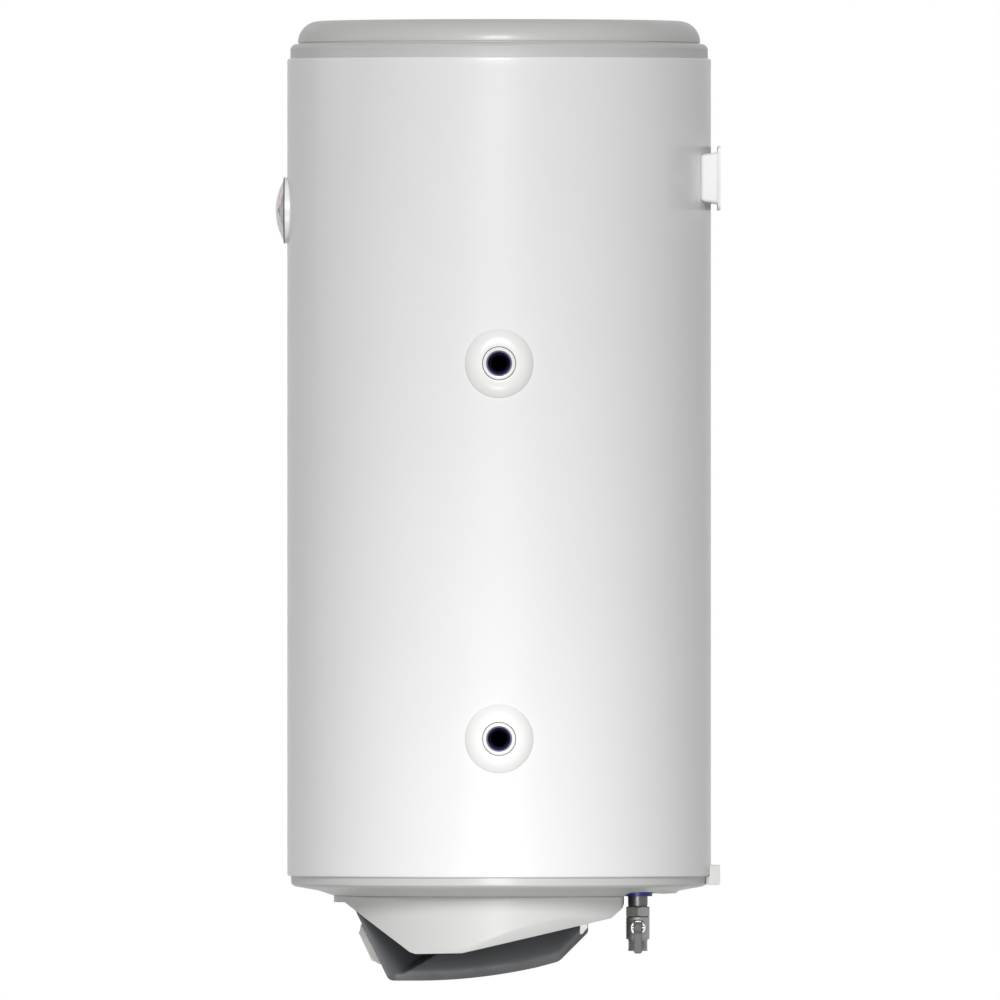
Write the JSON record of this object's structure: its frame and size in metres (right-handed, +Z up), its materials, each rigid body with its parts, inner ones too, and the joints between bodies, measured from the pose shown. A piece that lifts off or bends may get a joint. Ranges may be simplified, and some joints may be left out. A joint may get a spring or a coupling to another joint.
{
  "type": "tank water heater",
  "caption": "Wall-hung cylindrical storage water heater with heating-coil sockets, a dial thermometer, a safety valve with a lifting lever and a thermostat knob in a nose-shaped lower cover.",
  "frame": {"origin": "wall plane at the centre of the wall bracket's slots", "axes": "+Y into the wall, +Z up along the tank, +X towards the coil sockets"},
  "size_m": [0.463, 0.4761, 1.0268],
  "materials": {
    "white_enamel": "glossy white baked enamel",
    "grey_plastic": "light grey moulded plastic, low gloss",
    "white_plastic": "white moulded plastic",
    "dark_plastic": "dark grey fine-textured plastic",
    "knob_plastic": "pale translucent plastic",
    "clear_lens": "clear polycarbonate",
    "dial_print": "printed scale plate",
    "pointer_paint": "black painted needle",
    "lamp_lens": "amber lamp lens",
    "vessel_enamel": "dark blue vitreous enamel on steel",
    "socket_steel": "steel socket, white ring and enamelled bore",
    "plated_steel": "zinc plated steel",
    "valve_nickel": "satin nickel plated brass",
    "brass": "turned brass",
    "copper": "copper capillary and sheath",
    "magnesium": "cast magnesium rod",
    "foam": "rigid polyurethane foam",
    "rubber": "moulded rubber",
    "blue_plastic": "blue marking ring",
    "red_plastic": "red marking ring",
    "ceramic": "steatite",
    "black_plastic": "black phenolic",
    "terminal_plastic": "natural nylon",
    "button_red": "red button",
    "wire_insulation": "silicone insulated wire",
    "spring_steel": "stainless spring wire"
  },
  "bodies": {
    "heater": {"casing": "white_enamel", "top_cap": "grey_plastic", "bottom_cap": "grey_plastic", "insulation": "foam", "tank_shell": "vessel_enamel", "upper_dished_end": "vessel_enamel", "lower_dished_end": "vessel_enamel", "heat_exchanger_coil": "vessel_enamel", "lower_coil_socket": "socket_steel", "upper_coil_socket": "socket_steel", "lower_coil_rosette": "white_plastic", "upper_coil_rosette": "white_plastic", "wall_bracket": "white_enamel", "bracket_studs": "plated_steel", "lower_spacer": "grey_plastic", "thermometer_bezel": "white_plastic", "thermometer_dial": "dial_print", "thermometer_lens": "clear_lens", "thermometer_capillary": "copper", "sensor_pocket": "brass", "flange_collar": "vessel_enamel", "flange_studs": "plated_steel", "flange_gasket": "rubber", "flange_plate": "plated_steel", "m8_nuts": "plated_steel", "heating_element": "copper", "element_terminals": "ceramic", "anode_rod": "magnesium", "thermostat_pocket": "copper", "cold_inlet_pipe": "plated_steel", "hot_outlet_pipe": "plated_steel", "cold_collar": "blue_plastic", "hot_collar": "red_plastic", "valve_body": "valve_nickel", "valve_bonnet": "valve_nickel", "relief_spring": "spring_steel", "check_spring": "spring_steel", "check_guide": "brass", "electrical_cover": "grey_plastic", "control_cover": "dark_plastic", "cover_screws": "plated_steel", "cover_hook_lugs": "grey_plastic", "thermostat_body": "black_plastic", "thermostat_nut": "plated_steel", "thermostat_capillary": "copper", "component_bracket": "plated_steel", "thermal_cutout": "black_plastic", "pilot_lamp": "lamp_lens", "terminal_block": "terminal_plastic", "internal_wires": "wire_insulation", "cable_gland": "rubber"},
    "knob": {"control_knob": "knob_plastic", "thermostat_shaft": "plated_steel"},
    "pointer": {"thermometer_pointer": "pointer_paint"},
    "stem": {"relief_stem": "brass", "relief_seat_disc": "rubber", "lever_pin": "plated_steel"},
    "lever": {"valve_lever": "valve_nickel"},
    "poppet": {"check_poppet": "brass"},
    "button": {"reset_button": "button_red"}
  },
  "joints": [
    {"name": "knob_turn", "type": "hinge", "parent": "heater", "child": "knob", "pos_m": [0, -0.3728, -0.8198], "axis": [0, -0.9029, -0.4299], "range_deg": [-90, 180]},
    {"name": "pointer_turn", "type": "hinge", "parent": "heater", "child": "pointer", "pos_m": [0, -0.47, -0.0343], "axis": [0, 1, 0], "range_deg": [0, 240]},
    {"name": "relief_stem_slide", "type": "slide", "parent": "heater", "child": "stem", "axis": [1, 0, 0], "range_m": [0, 0.0025], "deforming": ["relief_spring"]},
    {"name": "lever_lift", "type": "hinge", "parent": "stem", "child": "lever", "pos_m": [0.0812, -0.0881, -0.8019], "axis": [0, -1, 0], "range_deg": [0, 90]},
    {"name": "check_poppet_slide", "type": "slide", "parent": "heater", "child": "poppet", "axis": [0, 0, 1], "range_m": [0, 0.004], "stiffness_N_per_m": 120, "springref_m": -0.004, "deforming": ["check_spring"]},
    {"name": "reset_button_press", "type": "slide", "parent": "heater", "child": "button", "axis": [0, 1, 0], "range_m": [0, 0.0015], "stiffness_N_per_m": 300, "springref_m": -0.002}
  ],
  "couplings": [
    {"joint": "relief_stem_slide", "follows": "lever_lift", "m_per_rad": 0.00159}
  ]
}
